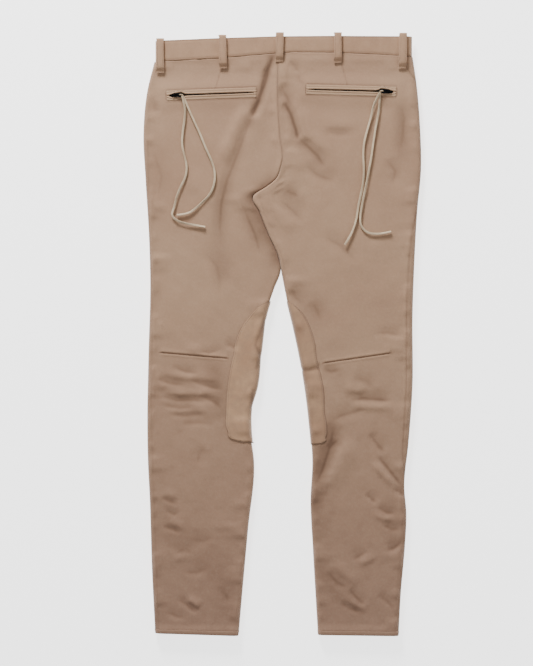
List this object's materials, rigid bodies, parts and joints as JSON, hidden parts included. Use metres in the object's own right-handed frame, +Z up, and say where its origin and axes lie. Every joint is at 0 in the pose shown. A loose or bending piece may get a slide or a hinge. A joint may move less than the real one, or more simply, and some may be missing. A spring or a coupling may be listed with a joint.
{
  "type": "riding-style trousers",
  "caption": "Slim stretch-twill trousers lying flat, back upwards, with suede inner-knee patches, belt loops and zipped back welt pockets whose sliders carry long thong laces",
  "frame": {"origin": "under the middle of the garment's outline, on the surface it lies on", "axes": "+Y from the hems to the waist, +X from the wearer's left leg to the right leg, +Z up out of the surface, towards the garment's back"},
  "size_m": [0.4733, 1.0252, 0.0225],
  "materials": {
    "cloth": "matt twill",
    "suede": "suede",
    "lace": "matt thong",
    "zip_tape": "woven tape",
    "zip_metal": "black satin",
    "hook": "satin",
    "lining": "plain weave"
  },
  "bodies": {
    "garment": {"back_left_belt_loop": "cloth", "back_right_belt_loop": "cloth", "back_waistband_lining": "lining", "centre_back_belt_loop": "cloth", "fly_facing": "cloth", "fly_shield": "cloth", "fly_zip_chain": "zip_metal", "fly_zip_stop": "zip_metal", "fly_zip_tape": "zip_tape", "front_left_belt_loop": "cloth", "front_right_belt_loop": "cloth", "front_waistband_lining": "lining", "left_back_panel": "cloth", "left_back_waistband": "cloth", "left_front_panel": "cloth", "left_front_pocket_bag": "lining", "left_front_pocket_facing": "cloth", "left_front_waistband": "cloth", "left_knee_patch": "suede", "left_pocket_bag": "lining", "left_pocket_lower_welt": "cloth", "left_pocket_upper_welt": "cloth", "left_zip_chain": "zip_metal", "left_zip_stops": "zip_metal", "left_zip_tape": "zip_tape", "right_back_panel": "cloth", "right_back_waistband": "cloth", "right_front_panel": "cloth", "right_front_pocket_bag": "lining", "right_front_pocket_facing": "cloth", "right_front_waistband": "cloth", "right_knee_patch": "suede", "right_pocket_bag": "lining", "right_pocket_lower_welt": "cloth", "right_pocket_upper_welt": "cloth", "right_zip_chain": "zip_metal", "right_zip_stops": "zip_metal", "right_zip_tape": "zip_tape", "side_left_belt_loop": "cloth", "side_right_belt_loop": "cloth", "waist_bar": "hook", "waist_hook": "hook"},
    "left_lower_leg": {"left_back_panel_lower": "cloth", "left_front_panel_lower": "cloth", "left_hem_band": "cloth"},
    "right_lower_leg": {"right_back_panel_lower": "cloth", "right_front_panel_lower": "cloth", "right_hem_band": "cloth"},
    "left_zip_runner": {"left_zip_slider": "zip_metal", "left_lace_outer": "lace", "left_lace_inner": "lace"},
    "right_zip_runner": {"right_zip_slider": "zip_metal", "right_lace_outer": "lace", "right_lace_inner": "lace"},
    "left_tab": {"left_pull_tab": "zip_metal", "left_lace_loop": "lace"},
    "right_tab": {"right_pull_tab": "zip_metal", "right_lace_loop": "lace"},
    "fly_runner": {"fly_zip_slider": "zip_metal", "fly_pull_tab": "zip_metal"}
  },
  "joints": [
    {"name": "left_leg_fold", "type": "hinge", "parent": "garment", "child": "left_lower_leg", "pos_m": [-0.14, -0.2, 0.019], "axis": [-1, 0, 0], "range_deg": [0, 180]},
    {"name": "right_leg_fold", "type": "hinge", "parent": "garment", "child": "right_lower_leg", "pos_m": [0.13, -0.2, 0.019], "axis": [-1, 0, 0], "range_deg": [0, 180]},
    {"name": "left_zip_opens", "type": "slide", "parent": "garment", "child": "left_zip_runner", "axis": [0.9993, 0.0366, 0], "range_m": [0, 0.118]},
    {"name": "left_tab_swing", "type": "hinge", "parent": "left_zip_runner", "child": "left_tab", "pos_m": [-0.18426, 0.40665, 0.0169], "axis": [0.0366, -0.9993, 0], "range_deg": [0, 120]},
    {"name": "right_zip_opens", "type": "slide", "parent": "garment", "child": "right_zip_runner", "axis": [-0.9997, 0.0262, 0], "range_m": [0, 0.118]},
    {"name": "right_tab_swing", "type": "hinge", "parent": "right_zip_runner", "child": "right_tab", "pos_m": [0.18098, 0.41312, 0.0169], "axis": [0.0262, 0.9997, 0], "range_deg": [0, 120]},
    {"name": "fly_zip_opens", "type": "slide", "parent": "garment", "child": "fly_runner", "axis": [0, -1, 0], "range_m": [0, 0.134]}
  ]
}
